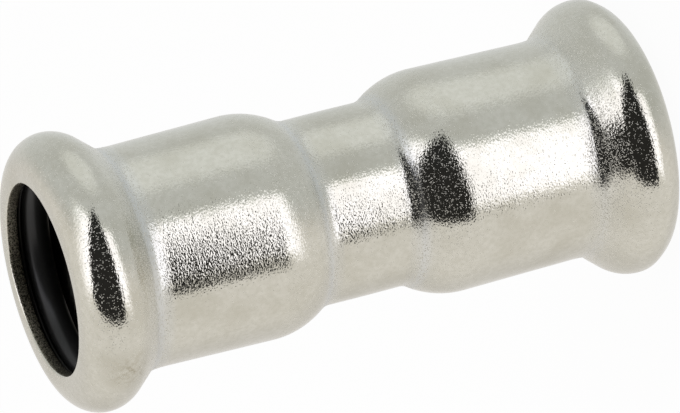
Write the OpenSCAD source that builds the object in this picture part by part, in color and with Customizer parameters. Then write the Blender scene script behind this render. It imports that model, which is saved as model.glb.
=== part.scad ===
// Straight press coupling for joining two pipes: one formed stainless tube with a socket at each
// end, a bead around each mouth, and a rubber seal ring inside each bead.
// It stands on its lower mouth. Z is the axis of the bore and Z = 0 is the plane it stands on.
// All sizes are in millimetres and all angles in degrees.

/* [Pipe] */
// Outside diameter of the pipe
pipe_d = 15; // [12:1:22]
// How much wider than the pipe each socket is
socket_gap = 0.2; // [0.1:0.1:0.4]
// How much wider than the pipe each mouth is
mouth_gap = 0.6; // [0.4:0.1:0.8]

/* [Formed tube] */
// Length from mouth to mouth
overall_length = 51.2; // [46:0.2:60]
// Thickness of the wall
wall_t = 1.5; // [1.2:0.1:1.6]
// Straight length of the waist between the shoulders
waist_length = 6.4; // [4:0.2:10]
// How far the tube narrows from socket to waist, where the pipe stops
waist_step = 1.5; // [1.2:0.1:2]
// How far the bead stands above the socket
bead_height = 2.25; // [2.2:0.05:2.4]
// Radius of the bead, measured on its outside
bead_r = 2.75; // [2.7:0.05:3]

/* [Bends and edges] */
// Radius of the hollow bend where the waist meets the shoulder
waist_bend_r = 1.3; // [0.8:0.1:2]
// Straight length between the two bends of the shoulder
shoulder_run = 0.2; // [0.1:0.1:0.8]
// Radius of the hollow bend where the socket meets the bead
neck_bend_r = 1.75; // [1.25:0.05:2.5]
// Rounding on both edges of the lip
lip_edge_r = 0.25; // [0.1:0.05:0.5]

/* [Seal rings] */
// How much wider than the pipe the seal rings are
seal_gap = 0.1; // [0:0.05:0.3]

/* [Hidden] */
$fn = 96;

// Shoulders and beads rise 3 for every 4 along the axis, so the tangent points fall on round figures
slope = atan2(3, 4);
half_length = overall_length/2;
socket_r = (pipe_d + socket_gap)/2;
mouth_r = (pipe_d + mouth_gap)/2;
waist_outer_r = socket_r + wall_t - waist_step;

// The shoulder's full bend takes up the rise that its hollow bend and its straight run leave
bend_share = 1 - cos(slope);
shoulder_bend_r = (waist_step - shoulder_run*sin(slope))/bend_share - waist_bend_r;
// The back of the bead is straight between its two bends
bead_back_run = (bead_height - (neck_bend_r + bead_r)*bend_share)/sin(slope);
shoulder_length = (waist_bend_r + shoulder_bend_r)*sin(slope) + shoulder_run*cos(slope);
bead_length = (neck_bend_r + bead_r)*sin(slope) + bead_back_run*cos(slope) + bead_r;
// The socket's straight wall takes up the rest of the length
guide_length = half_length - waist_length/2 - shoulder_length - bead_length;

// Each seal ring fills its bead, from the inside of the crown to just clear of the pipe
chamber_r = socket_r + bead_height;
seal_inner_r = (pipe_d + seal_gap)/2;
seal_cord_r = (chamber_r - seal_inner_r)/2;

// The tube's bends from the waist to the mouth: the straight run before the bend, its radius on the
// outside of the tube, and its turn, which is above 0 where the tube flares out
bends = [
    [waist_length/2, waist_bend_r, slope],
    [shoulder_run, shoulder_bend_r, -slope],
    [guide_length, neck_bend_r, slope],
    [bead_back_run, bead_r, -slope - 90],
];
bend_numbers = [0 : len(bends) - 1];
last_bend = len(bends) - 1;
// How far the two halves overlap at the middle of the waist
lap = 1;

// Directions along the wall and away from the axis, as [radius, height]
function along(angle) = [sin(angle), cos(angle)];
function outward(angle) = [cos(angle), -sin(angle)];

// A bend's place on the surface that lies a given depth under the outside of the tube
function heading(i) = i == 0 ? 0 : heading(i - 1) + bends[i - 1][2];
function flare(i) = sign(bends[i][2]);
function surface_r(i, depth) = bends[i][1] + flare(i)*depth;
function run_start(i, depth) = i == 0 ? [waist_outer_r - depth, 0] : bend_end(i - 1, depth);
function bend_start(i, depth) = run_start(i, depth) + bends[i][0]*along(heading(i));
function bend_centre(i, depth) = bend_start(i, depth) + flare(i)*surface_r(i, depth)*outward(heading(i));
function bend_end(i, depth) = bend_centre(i, depth) - flare(i)*surface_r(i, depth)*outward(heading(i + 1));

module bend_disc(i, depth) {
    translate(bend_centre(i, depth)) circle(surface_r(i, depth));
}

// The half section from the axis out to the surface at a given depth
module filled_to(depth) {
    tangent_points = [for (i = bend_numbers) each [bend_start(i, depth), bend_end(i, depth)]];
    end_height = bend_end(last_bend, depth).y;
    difference() {
        union() {
            polygon([[0, -lap], [waist_outer_r - depth, -lap], each tangent_points, [0, end_height]]);
            // Full bends swell out past their tangent points
            intersection() {
                union() {
                    for (i = bend_numbers) {
                        if (flare(i) < 0) bend_disc(i, depth);
                    }
                }
                translate([0, -half_length]) square(overall_length);
            }
        }
        // Hollow bends bite in between theirs
        for (i = bend_numbers) {
            if (flare(i) > 0) bend_disc(i, depth);
        }
    }
}

// The wall turned in at the mouth, with the edges of its cut end rounded
module lip_end() {
    for (height = [half_length - lip_edge_r, half_length - wall_t + lip_edge_r]) {
        translate([mouth_r + lip_edge_r, height]) circle(lip_edge_r);
    }
    translate([mouth_r, half_length - wall_t + lip_edge_r]) square([2*lip_edge_r, wall_t - 2*lip_edge_r]);
}

module half_section() {
    difference() {
        filled_to(0);
        filled_to(wall_t);
        translate([0, half_length - 2*wall_t]) square([mouth_r + lip_edge_r, 3*wall_t]);
    }
    lip_end();
}

module coupling_body() {
    color("silver") translate([0, 0, half_length]) rotate_extrude() {
        half_section();
        mirror([0, 1]) half_section();
    }
}

module seal_ring(height) {
    color("black") translate([0, 0, height]) rotate_extrude() {
        translate([chamber_r - seal_cord_r, 0]) circle(seal_cord_r);
    }
}

module upper_seal() {
    seal_ring(overall_length - bead_r);
}

module lower_seal() {
    seal_ring(bead_r);
}

coupling_body();
upper_seal();
lower_seal();
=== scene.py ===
import math

import bpy
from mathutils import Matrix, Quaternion, Vector


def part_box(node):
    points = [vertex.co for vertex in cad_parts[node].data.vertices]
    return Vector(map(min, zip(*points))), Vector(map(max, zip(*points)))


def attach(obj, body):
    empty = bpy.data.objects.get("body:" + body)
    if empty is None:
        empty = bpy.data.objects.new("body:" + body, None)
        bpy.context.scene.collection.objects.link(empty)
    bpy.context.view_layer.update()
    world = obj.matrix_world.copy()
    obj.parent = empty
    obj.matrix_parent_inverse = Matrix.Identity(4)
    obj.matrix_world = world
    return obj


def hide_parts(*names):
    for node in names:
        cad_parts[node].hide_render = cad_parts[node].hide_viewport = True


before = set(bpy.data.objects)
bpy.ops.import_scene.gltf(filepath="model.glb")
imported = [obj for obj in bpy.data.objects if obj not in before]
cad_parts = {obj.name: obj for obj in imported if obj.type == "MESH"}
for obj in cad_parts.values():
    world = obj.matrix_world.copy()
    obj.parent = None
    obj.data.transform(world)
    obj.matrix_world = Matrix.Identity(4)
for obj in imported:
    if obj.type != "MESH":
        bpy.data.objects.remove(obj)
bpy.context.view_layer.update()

MM = 0.001

# Sizes of the formed tube, taken from the solids or repeated from their source
body_low, body_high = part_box("coupling_body")
length = body_high.z - body_low.z
half_length = length / 2
middle = Vector((0, 0, body_low.z + half_length))
wall = 1.5 * MM
waist_r = 7.6 * MM
mouth_r = 7.8 * MM
lip_edge_r = 0.25 * MM

# From here the tube follows the photograph's outline and reflections a little closer than the solids do.
# The inner edge of the lip is rounder than the outer one.
lip_inside_r = 0.7 * MM
# How steeply the shoulders and the beads rise from the axis
shoulder_slope = math.radians(34.5)
bead_slope = math.radians(41)
# The waist is very slightly barrelled. The sockets narrow towards the mouths and flare before each neck.
waist_barrel = math.radians(0.7)
socket_taper = math.radians(1.0)
neck_flare = math.radians(6)
# The wall's bends from the middle of the waist to the mouth: the radius on the outside, the turn (above 0
# where the tube flares out) and how many steps draw it
wall_bends = {
    "waist": (250.0 * MM, -waist_barrel, 3),
    "hollow": (2.0 * MM, shoulder_slope + waist_barrel, 8),
    "shoulder": (7.0 * MM, -shoulder_slope - socket_taper, 14),
    "flare": (10.0 * MM, neck_flare, 5),
    "neck": (1.6 * MM, bead_slope + socket_taper - neck_flare, 9),
    "crown": (3.08 * MM, -bead_slope, 13),
    "mouth": (2.75 * MM, -math.pi / 2, 20),
}
# The lower bead was rolled a little nearer its mouth: how far, between which heights, and the length over
# which that fades
bead_shift = 0.28 * MM
bead_shift_low = 2.7 * MM
bead_shift_high = 7.4 * MM
bead_shift_fade = 1.7 * MM
# The formed tube stays inside the solids' box by this much
box_inset = 0.0005 * MM
# Points that are closer than this are welded
weld_gap = 0.0005 * MM
# How many steps draw the tube round its axis, and each rounded edge of the lip
round_steps = 264
edge_steps = 6

# The photograph's camera: where it stands, and how the picture is turned
camera_distance = 582.5 * MM
camera_elevation = math.radians(18.49)
axis_tilt = math.radians(14.37)
# Its lens and sensor, in millimetres as a camera takes them
camera_lens = 386.1
sensor_w = 36.0
# The picture's width, and how far the middle of the part lies above the picture's centre, in pixels
picture_w = 680
middle_above_centre = 2.6


def linear(hex_colour):
    """An sRGB hex colour as linear red, green, blue and alpha."""
    parts = [int(hex_colour[i:i + 2], 16) / 255 for i in (0, 2, 4)]
    return [c / 12.92 if c <= 0.04045 else ((c + 0.055) / 1.055) ** 2.4 for c in parts] + [1.0]


def add_node(tree, kind, values=None, links=None, **settings):
    """Adds a node with its settings and socket values. A link is an output, or a node for its first one."""
    node = tree.nodes.new(kind)
    for name, value in settings.items():
        setattr(node, name, value)
    for socket, value in (values or {}).items():
        node.inputs[socket].default_value = value
    for socket, source in (links or {}).items():
        output = source.outputs[0] if isinstance(source, bpy.types.Node) else source
        tree.links.new(output, node.inputs[socket])
    return node


def new_material(name):
    """An empty node material, and its tree."""
    material = bpy.data.materials.new(name)
    material.use_nodes = True
    material.node_tree.nodes.clear()
    return material, material.node_tree


# Materials

# The sockets of a Mix node that take its two colours, and the one that gives the mixed colour
MIX_A = 6
MIX_B = 7
MIX_COLOUR = 2

# The steel's grain and pits are really about 0.03 mm across, too fine to show, so they are drawn coarser,
# at about the width of a pixel
grain_size = 0.12 * MM
grain_lean = 0.32
pit_size = 0.075 * MM
# Ripples from the forming are longer round the tube than along it
ripple_size = 0.20 * MM
ripple_height = 0.0145 * MM
ripple_squeeze = 1.6
# Blotches from the pickling bath, small and large, and a brown stain on the upper bead
mottle_size = 0.4 * MM
cloud_size = 4.0 * MM
cloud_strength = 0.6
stain_place = Vector((-8.6, -7.2, 48.0)) * MM
stain_r = 2.8 * MM
stain_strength = 0.9
# How dull the steel is where it is clear and where it is cloudy, and how much the bends' painted highlight
# and the pits add
clear_dullness = 0.05
cloudy_dullness = 0.09
film_dullness = 0.36
pit_dullness = 0.5
# How much of the painted highlight in the bends is left at the lower mouth
lower_film = 0.3
# The drawing lines in the bore are finer than this, and are drawn coarser to show
line_size = 0.1 * MM
line_length = 3.0 * MM
line_height = 0.001 * MM
# The torn grain of the cut edge, and the skin that the mould gave the rubber
shear_size = 0.12 * MM
shear_height = 0.05 * MM
rubber_size = 0.06 * MM
rubber_height = 0.002 * MM
# How white the floor is to the camera, before the object's shadow
floor_white = 0.95

# How the finish changes along the axis: the distance from the middle of the waist, then the share of pits
# where the wall was stretched, the strength of the etched grain, and the share of the pale painted
# highlight, with a duller finish, in the hollow bends
finish_steps = (
    (2.6 * MM, 0.02, 0.62, 0.0),
    (3.1 * MM, 0.20, 0.95, 0.15),
    (3.6 * MM, 0.30, 1.00, 0.35),
    (4.0 * MM, 0.30, 0.90, 0.65),
    (4.7 * MM, 0.13, 0.60, 0.1),
    (5.3 * MM, 0.13, 0.50, 0.0),
    (8.0 * MM, 0.10, 0.50, 0.0),
    (8.8 * MM, 0.01, 0.62, 0.0),
    (17.6 * MM, 0.01, 0.62, 0.0),
    (18.5 * MM, 0.24, 0.60, 0.35),
    (19.1 * MM, 0.40, 0.60, 0.7),
    (19.9 * MM, 0.36, 0.58, 0.2),
    (20.7 * MM, 0.18, 0.44, 0.0),
    (22.0 * MM, 0.07, 0.32, 0.0),
)


def bath_marks(tree, place):
    """What the pickling bath left: the small blotches, the large ones, and the share of the brown stain."""
    mottle = add_node(
        tree, "ShaderNodeTexNoise", {"Scale": 1 / mottle_size, "Detail": 4.0}, {"Vector": place}
    )
    mottle = add_node(tree, "ShaderNodeMapRange", {"From Min": 0.35, "From Max": 0.65}, {"Value": mottle})
    cloud = add_node(
        tree, "ShaderNodeTexNoise", {"Scale": 1 / cloud_size, "Detail": 3.0}, {"Vector": place}
    )
    away = add_node(tree, "ShaderNodeVectorMath", {1: stain_place}, {0: place}, operation="DISTANCE")
    stain = add_node(
        tree,
        "ShaderNodeMapRange",
        {"From Min": stain_r, "From Max": 0.0, "To Max": stain_strength},
        {"Value": away.outputs["Value"]},
    )
    stain = add_node(tree, "ShaderNodeMath", links={0: stain, 1: mottle}, operation="MULTIPLY")
    return mottle, cloud, stain


def finish_along_axis(tree, place):
    """The share of pits, the strength of the grain and the share of the painted highlight in the bends,
    by distance from the waist.
    """
    height = add_node(tree, "ShaderNodeSeparateXYZ", links={0: place}).outputs["Z"]
    reach = add_node(tree, "ShaderNodeMath", {1: middle.z}, {0: height}, operation="SUBTRACT")
    reach = add_node(tree, "ShaderNodeMath", links={0: reach}, operation="ABSOLUTE")
    reach = add_node(tree, "ShaderNodeMath", {1: half_length}, {0: reach}, operation="DIVIDE")
    finish = add_node(tree, "ShaderNodeValToRGB", links={0: reach})
    finish.color_ramp.interpolation = "EASE"
    stops = finish.color_ramp.elements
    stops.remove(stops[1])
    stops[0].color = (*finish_steps[0][1:], 1)
    for distance, *shares in finish_steps:
        stops.new(distance / half_length).color = (*shares, 1)
    pitted, etched, film = add_node(tree, "ShaderNodeSeparateColor", links={0: finish}).outputs

    # The painted highlight in the bends fades towards the lower mouth, and no pits are drawn where it lies
    thinner = add_node(
        tree, "ShaderNodeMapRange", {"From Max": middle.z, "To Min": lower_film}, {"Value": height}
    )
    film = add_node(tree, "ShaderNodeMath", links={0: film, 1: thinner}, operation="MULTIPLY")
    bare = add_node(tree, "ShaderNodeMath", {0: 1.0}, {1: film}, operation="SUBTRACT")
    pitted = add_node(tree, "ShaderNodeMath", links={0: pitted, 1: bare}, operation="MULTIPLY")
    return pitted, etched, film


def scattered_pits(tree, place, pitted):
    """The pits: of all grains, those that a lot picks, in the share that is pitted."""
    grain = add_node(tree, "ShaderNodeTexVoronoi", {"Scale": 1 / pit_size}, {"Vector": place})
    lot = add_node(tree, "ShaderNodeSeparateColor", links={0: grain.outputs["Color"]}).outputs["Blue"]
    odds = add_node(tree, "ShaderNodeMath", links={0: lot, 1: pitted}, operation="ADD")
    return add_node(tree, "ShaderNodeMath", {1: 1.0}, {0: odds}, operation="GREATER_THAN")


def etched_relief(tree, place, etched):
    """The way the surface faces: each etched grain leans its own way, and the ripples lie over them all."""
    grain = add_node(
        tree, "ShaderNodeTexNoise", {"Scale": 1 / grain_size, "Detail": 1.0}, {"Vector": place}
    )
    either_way = add_node(
        tree,
        "ShaderNodeVectorMath",
        {1: (0.5, 0.5, 0.5)},
        {0: grain.outputs["Color"]},
        operation="SUBTRACT",
    )
    lean = add_node(tree, "ShaderNodeMath", {1: grain_lean}, {0: etched}, operation="MULTIPLY")
    lean = add_node(tree, "ShaderNodeVectorMath", links={0: either_way, "Scale": lean}, operation="SCALE")
    facing = add_node(tree, "ShaderNodeNewGeometry").outputs["Normal"]
    facing = add_node(tree, "ShaderNodeVectorMath", links={0: facing, 1: lean}, operation="ADD")
    facing = add_node(tree, "ShaderNodeVectorMath", links={0: facing}, operation="NORMALIZE")
    squeezed = add_node(tree, "ShaderNodeMapping", {"Scale": (1, 1, ripple_squeeze)}, {"Vector": place})
    ripple = add_node(
        tree, "ShaderNodeTexNoise", {"Scale": 1 / ripple_size, "Detail": 1.0}, {"Vector": squeezed}
    )
    return add_node(
        tree, "ShaderNodeBump", {"Distance": ripple_height}, {"Height": ripple, "Normal": facing}
    )


def pickled_stainless_steel():
    """Drawn and pickled stainless steel: warm grey and bright. Fine ripples and an etched grain break up
    its mirror, small pits scatter the light and are tinted paler as painted glints, and the hollow bends
    are duller and carry a pale painted highlight."""
    material, tree = new_material("pickled_stainless_steel")
    place = add_node(tree, "ShaderNodeTexCoord").outputs["Object"]
    mottle, cloud, stain = bath_marks(tree, place)
    pitted, etched, film = finish_along_axis(tree, place)
    pit = scattered_pits(tree, place, pitted)

    # The tint: small blotches, and over them the large ones, the stain, the bends' painted highlight and
    # the pits' painted glints
    tint = add_node(
        tree,
        "ShaderNodeMix",
        {MIX_A: linear("C7C5BA"), MIX_B: linear("D0CEC4")},
        {"Factor": mottle},
        data_type="RGBA",
    )
    cloudy = add_node(
        tree,
        "ShaderNodeMapRange",
        {"From Min": 0.46, "From Max": 0.72, "To Max": cloud_strength},
        {"Value": cloud},
    )
    # D4D6D6 is a pale painted highlight in the hollow bends
    # DAD8CE, paler than the steel, paints glints in the pits
    for colour, share in (("B9B6A8", cloudy), ("9C9683", stain), ("D4D6D6", film), ("DAD8CE", pit)):
        tint = add_node(
            tree,
            "ShaderNodeMix",
            {MIX_B: linear(colour)},
            {"Factor": share, MIX_A: tint.outputs[MIX_COLOUR]},
            data_type="RGBA",
        )

    dull = add_node(
        tree,
        "ShaderNodeMapRange",
        {"From Min": 0.3, "From Max": 0.7, "To Min": clear_dullness, "To Max": cloudy_dullness},
        {"Value": cloud},
    )
    for share, dullness in ((film, film_dullness), (pit, pit_dullness)):
        dull = add_node(
            tree, "ShaderNodeMath", {1: dullness}, {0: share, 2: dull}, operation="MULTIPLY_ADD"
        )
    steel = add_node(
        tree,
        "ShaderNodeBsdfPrincipled",
        {"Metallic": 1.0},
        {
            "Base Color": tint.outputs[MIX_COLOUR],
            "Roughness": dull,
            "Normal": etched_relief(tree, place, etched),
        },
    )
    add_node(tree, "ShaderNodeOutputMaterial", links={"Surface": steel})
    return material


def sheared_stainless_edge():
    """The cut end of the tube, left as the shear made it: dull and coarse. Its dark tint is partly the
    rough cut and partly a painted dark reflection, and its pale flecks are painted glints.
    """
    material, tree = new_material("sheared_stainless_edge")
    place = add_node(tree, "ShaderNodeTexCoord").outputs["Object"]
    grit = add_node(
        tree,
        "ShaderNodeTexNoise",
        {"Scale": 1 / shear_size, "Detail": 3.0, "Roughness": 0.6},
        {"Vector": place},
    )
    # The tint's dark end is a painted dark reflection on the cut end, and its pale end paints glints
    tint = add_node(tree, "ShaderNodeValToRGB", links={0: grit})
    for stop, (position, colour) in zip(tint.color_ramp.elements, ((0.4, "3C392F"), (0.66, "C0BAA8"))):
        stop.position = position
        stop.color = linear(colour)
    relief = add_node(tree, "ShaderNodeBump", {"Distance": shear_height}, {"Height": grit})
    steel = add_node(
        tree,
        "ShaderNodeBsdfPrincipled",
        {"Metallic": 1.0, "Roughness": 0.38},
        {"Base Color": tint, "Normal": relief},
    )
    add_node(tree, "ShaderNodeOutputMaterial", links={"Surface": steel})
    return material


def drawn_stainless_bore():
    """The inside of the tube, as it was drawn: a little dull, with fine lines along the axis. Its darker
    tint is painted shade inside the tube.
    """
    material, tree = new_material("drawn_stainless_bore")
    place = add_node(tree, "ShaderNodeTexCoord").outputs["Object"]
    stretched = add_node(
        tree, "ShaderNodeMapping", {"Scale": (1, 1, line_size / line_length)}, {"Vector": place}
    )
    lines = add_node(
        tree, "ShaderNodeTexNoise", {"Scale": 1 / line_size, "Detail": 3.0}, {"Vector": stretched}
    )
    # The dark tint is painted shade inside the tube
    tint = add_node(
        tree,
        "ShaderNodeMix",
        {MIX_A: linear("6E6C66"), MIX_B: linear("8A877E")},
        {"Factor": lines},
        data_type="RGBA",
    )
    dull = add_node(tree, "ShaderNodeMapRange", {"To Min": 0.16, "To Max": 0.26}, {"Value": lines})
    relief = add_node(tree, "ShaderNodeBump", {"Distance": line_height}, {"Height": lines})
    steel = add_node(
        tree,
        "ShaderNodeBsdfPrincipled",
        {"Metallic": 1.0},
        {"Base Color": tint.outputs[MIX_COLOUR], "Roughness": dull, "Normal": relief},
    )
    add_node(tree, "ShaderNodeOutputMaterial", links={"Surface": steel})
    return material


def moulded_epdm_rubber():
    """Moulded black rubber with a trace of grease: near black, with a soft wide sheen."""
    material, tree = new_material("moulded_epdm_rubber")
    place = add_node(tree, "ShaderNodeTexCoord").outputs["Object"]
    skin = add_node(
        tree, "ShaderNodeTexNoise", {"Scale": 1 / rubber_size, "Detail": 2.0}, {"Vector": place}
    )
    tint = add_node(tree, "ShaderNodeValToRGB", links={0: skin})
    for stop, (position, colour) in zip(tint.color_ramp.elements, ((0.3, "1D1D1D"), (0.7, "272726"))):
        stop.position = position
        stop.color = linear(colour)
    relief = add_node(
        tree, "ShaderNodeBump", {"Strength": 0.6, "Distance": rubber_height}, {"Height": skin}
    )
    rubber = add_node(
        tree,
        "ShaderNodeBsdfPrincipled",
        {"Roughness": 0.32, "Specular IOR Level": 0.35},
        {"Base Color": tint, "Normal": relief},
    )
    add_node(tree, "ShaderNodeOutputMaterial", links={"Surface": rubber})
    return material


def white_floor():
    """A pale studio floor. To the camera it is nearly white, and the object's shadow stays on it."""
    material, tree = new_material("white_floor")
    paper = add_node(tree, "ShaderNodeBsdfDiffuse", {"Color": linear("F6F6F6")})
    white = add_node(tree, "ShaderNodeEmission", {"Color": linear("FFFFFF"), "Strength": 1.0})
    seen = add_node(tree, "ShaderNodeLightPath").outputs["Is Camera Ray"]
    share = add_node(tree, "ShaderNodeMath", {1: floor_white}, {0: seen}, operation="MULTIPLY")
    mix = add_node(tree, "ShaderNodeMixShader", links={0: share, 1: paper, 2: white})
    add_node(tree, "ShaderNodeOutputMaterial", links={"Surface": mix})
    return material


def plain_card():
    """The patch of floor under the part, which only the bore looks down on."""
    material, tree = new_material("plain_card")
    paper = add_node(tree, "ShaderNodeBsdfDiffuse", {"Color": linear("E8E8E8")})
    add_node(tree, "ShaderNodeOutputMaterial", links={"Surface": paper})
    return material


# Modelling

def along(heading):
    """The direction of a wall that heads this far from the axis, in the section's plane."""
    return Vector((math.sin(heading), 0, math.cos(heading)))


def beside(heading):
    """The direction square to that wall, away from the axis where the wall runs upwards."""
    return Vector((math.cos(heading), 0, -math.sin(heading)))


class WallPen:
    """Draws the section of the wall as one chain of edges, from straights and bends."""

    def __init__(self, name, start):
        """Puts one point at the start, heading along the axis."""
        bpy.ops.object.select_all(action="DESELECT")
        bpy.ops.mesh.primitive_plane_add(size=MM, location=(0, 0, 0))
        self.piece = bpy.context.object
        self.piece.name = name
        self.piece.data.name = name
        bpy.ops.object.mode_set(mode="EDIT")
        bpy.ops.mesh.merge(type="CENTER")
        bpy.ops.transform.translate(value=start)
        self.place = start.copy()
        self.heading = 0.0

    def straight(self, run):
        """Goes straight on."""
        if run == 0:
            return
        step = along(self.heading) * run
        bpy.ops.mesh.extrude_vertices_move(TRANSFORM_OT_translate={"value": step})
        self.place += step

    def bend(self, radius, turn, steps):
        """Goes round a bend, away from the axis where the turn is above 0."""
        side = math.copysign(1, turn)
        centre = self.place + beside(self.heading) * side * radius
        bpy.ops.mesh.spin(steps=steps, angle=-turn, center=centre, axis=(0, 1, 0))
        self.heading += turn
        self.place = centre - beside(self.heading) * side * radius


def wall_runs():
    """The straight runs before the flare and the crown, which bring the wall to the edges of its box."""
    # The way from the waist to the end of the mouth's bend, less what each bend covers
    mouth_bend_r = wall_bends["mouth"][0]
    left = Vector((body_high.x - box_inset - mouth_bend_r - waist_r, 0, half_length - box_inset))
    heading = 0.0
    for radius, turn, _ in wall_bends.values():
        left -= (beside(heading) - beside(heading + turn)) * math.copysign(radius, turn)
        heading += turn
    # One run along the socket and one up the bead's flank make up what is left
    socket = along(-socket_taper)
    flank = along(bead_slope)
    both = socket.cross(flank).y
    return {"flare": left.cross(flank).y / both, "crown": socket.cross(left).y / both}


def form_tube():
    """The formed tube: half its wall is drawn, spun round the axis, and mirrored about the waist."""
    pen = WallPen("formed_tube", Vector((waist_r, 0, middle.z)))
    runs = wall_runs()
    for name, (radius, turn, steps) in wall_bends.items():
        pen.straight(runs.get(name, 0))
        pen.bend(radius, turn, steps)
    lip_run = pen.place.x - mouth_r - lip_edge_r
    pen.straight(lip_run)
    pen.bend(lip_edge_r, -math.pi / 2, edge_steps)
    pen.straight(wall - lip_edge_r - lip_inside_r)
    pen.bend(lip_inside_r, -math.pi / 2, edge_steps)
    pen.straight(lip_run - lip_inside_r + lip_edge_r)
    for name, (radius, turn, steps) in reversed(wall_bends.items()):
        pen.bend(radius + math.copysign(wall, turn), -turn, steps)
        pen.straight(runs.get(name, 0))
    bpy.ops.mesh.select_all(action="SELECT")
    bpy.ops.mesh.spin(steps=round_steps, angle=2 * math.pi, center=(0, 0, 0), axis=(0, 0, 1))
    bpy.ops.mesh.select_all(action="SELECT")
    bpy.ops.mesh.duplicate()
    bpy.ops.transform.resize(value=(1, 1, -1), center_override=middle)
    bpy.ops.mesh.select_all(action="SELECT")
    bpy.ops.mesh.remove_doubles(threshold=weld_gap)
    bpy.ops.mesh.normals_make_consistent(inside=False)
    bpy.ops.mesh.select_all(action="DESELECT")
    bpy.ops.mesh.select_mode(type="VERT")
    bpy.ops.object.mode_set(mode="OBJECT")
    bpy.ops.object.shade_smooth()
    return pen.piece


def shift_lower_bead(piece):
    """Moves the outside of the lower bead towards its mouth. The inside stays where the seal ring sits."""
    for point in piece.data.vertices:
        outside = point.normal.xy.dot(point.co.xy) > 0
        point.select = outside and bead_shift_low < point.co.z < bead_shift_high
    bpy.ops.object.mode_set(mode="EDIT")
    bpy.ops.transform.translate(
        value=(0, 0, -bead_shift),
        use_proportional_edit=True,
        use_proportional_connected=True,
        proportional_edit_falloff="SMOOTH",
        proportional_size=bead_shift_fade,
    )
    bpy.ops.object.mode_set(mode="OBJECT")


def dress_tube(piece):
    """Pickled steel outside, the drawn finish with painted shade inside, and the sheared one with a painted
    dark reflection on the cut ends of the lips.
    """
    for steel in (pickled_stainless_steel(), drawn_stainless_bore(), sheared_stainless_edge()):
        piece.data.materials.append(steel)
    # The places of the last two in the list. Every face starts with the first.
    bore_finish = 1
    cut_finish = 2
    # The cut ends lie at the mouth's radius, with a little of the rounding at their edges
    cut_r = mouth_r + 0.1 * lip_edge_r
    for face in piece.data.polygons:
        outwards = face.normal.xy.dot(face.center.xy.normalized())
        reach = abs(face.center.z - middle.z)
        if face.center.xy.length < cut_r and reach > half_length - wall:
            face.material_index = cut_finish
        elif outwards < 0 and reach < half_length - lip_edge_r:
            face.material_index = bore_finish


# Studio

camera_look = Vector((0, math.cos(camera_elevation), -math.sin(camera_elevation)))
camera_turn = camera_look.to_track_quat("-Z", "Y") @ Quaternion((0, 0, 1), -math.pi / 2 - axis_tilt)


def picture_direction(azimuth, elevation):
    """A direction from the part, in degrees right of the camera and above it as the picture shows them."""
    azimuth = math.radians(azimuth)
    elevation = math.radians(elevation)
    level = math.cos(elevation)
    return camera_turn @ Vector((math.sin(azimuth) * level, math.sin(elevation), math.cos(azimuth) * level))


def place_camera():
    """The camera looks at the middle of the part, turned so that the part lies across the picture."""
    data = bpy.data.cameras.new("photo_camera")
    data.sensor_width = sensor_w
    data.lens = camera_lens
    data.shift_y = -middle_above_centre / picture_w
    camera = bpy.data.objects.new("photo_camera", data)
    bpy.context.scene.collection.objects.link(camera)
    camera.location = middle - camera_look * camera_distance
    camera.rotation_mode = "QUATERNION"
    camera.rotation_quaternion = camera_turn
    bpy.context.scene.camera = camera


def lay_floor():
    """The floor, and a plain card under the part, both just below the plane that the part stands on."""
    floor_size = 6000 * MM
    floor_drop = 0.02 * MM
    bpy.ops.object.select_all(action="DESELECT")
    bpy.ops.mesh.primitive_plane_add(size=floor_size, location=(0, 0, -floor_drop))
    floor = bpy.context.object
    floor.name = "studio_floor"
    floor.data.materials.append(white_floor())
    # The steel shows the tent all round, as the photograph's does
    floor.visible_glossy = False
    bpy.ops.object.select_all(action="DESELECT")
    bpy.ops.mesh.primitive_circle_add(
        vertices=96, radius=mouth_r + wall / 2, fill_type="NGON", location=(0, 0, -floor_drop / 2)
    )
    card = bpy.context.object
    card.name = "floor_under_part"
    card.data.materials.append(plain_card())


# The tent round the part, as levels of light. Its opening for the camera is a dark triangle with two
# bright flanks, and the rest is pale, a little dimmer above the part and behind it.
tent_r = 330 * MM
tent_low = 0.97
tent_mid = 0.76
tent_top = 1.0
tent_rear = 0.82
flank_level = 2.0
opening_level = 0.03
# Two points on each edge of the opening, as degrees right of the camera and above it
opening_edges = {
    "left": ((-22, 24), (-38, 0)),
    "right": ((24.0, 20), (46.3, -28)),
    "lower": ((-33, -40), (29, -43)),
}
opening_middle = (0, -5)
edge_soft = 0.015
# Patches of the tent, each laid over those before it: its level, and the soft steps whose product is its
# share. A step goes from none to full as a place moves from the first sine to the second, where rise is
# measured upwards, front towards the camera, and each edge inwards from that edge of the opening.
tent_patches = [
    (tent_mid, [("rise", -0.12, 0.29)]),
    (tent_top, [("rise", 0.86, 0.98)]),
    (tent_rear, [("front", -0.25, -0.85)]),
    (flank_level, [
        ("left", -0.56, -0.10),
        ("left", 0.12, 0.06),
        ("front", 0.0, 0.25),
        ("rise", -0.48, -0.30),
        ("rise", 0.66, 0.45),
    ]),
    (flank_level, [
        ("right", -0.46, -0.24),
        ("right", 0.12, 0.06),
        ("front", 0.0, 0.25),
        ("rise", -0.48, -0.30),
        ("rise", 0.60, 0.45),
    ]),
    (opening_level, [
        ("left", -edge_soft, edge_soft),
        ("right", -edge_soft, edge_soft),
        ("lower", -edge_soft, edge_soft),
        ("rise", 0.77, 0.70),
    ]),
]


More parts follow.
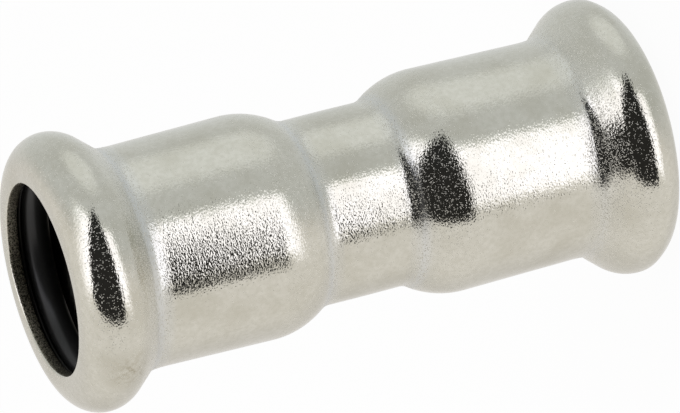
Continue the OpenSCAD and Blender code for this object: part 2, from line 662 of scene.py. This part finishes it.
def lit_cloth():
    """The cloth of the tent as the part sees it, by direction from the middle of the part."""
    material, tree = new_material("lit_cloth")
    place = add_node(tree, "ShaderNodeTexCoord").outputs["Object"]
    seen = add_node(tree, "ShaderNodeVectorMath", links={0: place}, operation="NORMALIZE")

    directions = {"rise": picture_direction(0, 90), "front": picture_direction(0, 0)}
    for edge, points in opening_edges.items():
        first, second = (picture_direction(*point) for point in points)
        square = first.cross(second).normalized()
        directions[edge] = square if square.dot(picture_direction(*opening_middle)) > 0 else -square
    sines = {}
    for name, direction in directions.items():
        dot = add_node(tree, "ShaderNodeVectorMath", {1: direction}, {0: seen}, operation="DOT_PRODUCT")
        sines[name] = dot.outputs["Value"]

    level = None
    for patch_level, steps in tent_patches:
        share = None
        for name, none_at, full_at in steps:
            step = add_node(
                tree,
                "ShaderNodeMapRange",
                {"From Min": none_at, "From Max": full_at},
                {"Value": sines[name]},
                interpolation_type="SMOOTHSTEP",
            )
            share = step if share is None else add_node(
                tree, "ShaderNodeMath", links={0: share, 1: step}, operation="MULTIPLY"
            )
        below = {} if level is None else {"A": level}
        level = add_node(
            tree, "ShaderNodeMix", {"A": tent_low, "B": patch_level}, {"Factor": share, **below}
        )

    # The cloth is a trace warmer below and cooler above, and the flanks have a trace of violet
    warmth = add_node(
        tree, "ShaderNodeMapRange", {"From Min": 0.0, "From Max": 0.4}, {"Value": sines["rise"]}
    )
    tint = add_node(
        tree,
        "ShaderNodeMix",
        {MIX_A: linear("FFFCF9"), MIX_B: linear("FCFFFF")},
        {"Factor": warmth},
        data_type="RGBA",
    )
    bright = add_node(
        tree, "ShaderNodeMapRange", {"From Min": 1.0, "From Max": flank_level}, {"Value": level}
    )
    tint = add_node(
        tree,
        "ShaderNodeMix",
        {MIX_B: linear("F7F6FF")},
        {"Factor": bright, MIX_A: tint.outputs[MIX_COLOUR]},
        data_type="RGBA",
    )
    light = add_node(
        tree, "ShaderNodeEmission", links={"Color": tint.outputs[MIX_COLOUR], "Strength": level}
    )
    add_node(tree, "ShaderNodeOutputMaterial", links={"Surface": light})
    return material


def light_tent():
    """The tent is a shell round the part, seen in the steel but not by the camera."""
    bpy.ops.object.select_all(action="DESELECT")
    bpy.ops.mesh.primitive_uv_sphere_add(segments=96, ring_count=48, radius=tent_r, location=middle)
    tent = bpy.context.object
    tent.name = "light_tent"
    tent.data.materials.append(lit_cloth())
    tent.visible_camera = False
    tent.visible_shadow = False


def white_room():
    """The room beyond the tent: white to the camera, and as pale as the tent's lower part to all else."""
    world = bpy.data.worlds.new("white_room")
    bpy.context.scene.world = world
    world.use_nodes = True
    tree = world.node_tree
    tree.nodes.clear()
    seen = add_node(tree, "ShaderNodeLightPath").outputs["Is Camera Ray"]
    room = add_node(tree, "ShaderNodeBackground", {"Color": linear("FFFFFF"), "Strength": tent_low})
    white = add_node(tree, "ShaderNodeBackground", {"Color": linear("FFFFFF"), "Strength": 1.0})
    mix = add_node(tree, "ShaderNodeMixShader", links={0: seen, 1: room, 2: white})
    add_node(tree, "ShaderNodeOutputWorld", links={"Surface": mix})


bpy.context.scene.view_settings.view_transform = "Standard"
place_camera()
light_tent()
white_room()
lay_floor()

tube = form_tube()
shift_lower_bead(tube)
dress_tube(tube)
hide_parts("coupling_body")
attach(tube, "root")

rubber = moulded_epdm_rubber()
for ring in ("upper_seal", "lower_seal"):
    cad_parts[ring].data.materials.clear()
    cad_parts[ring].data.materials.append(rubber)
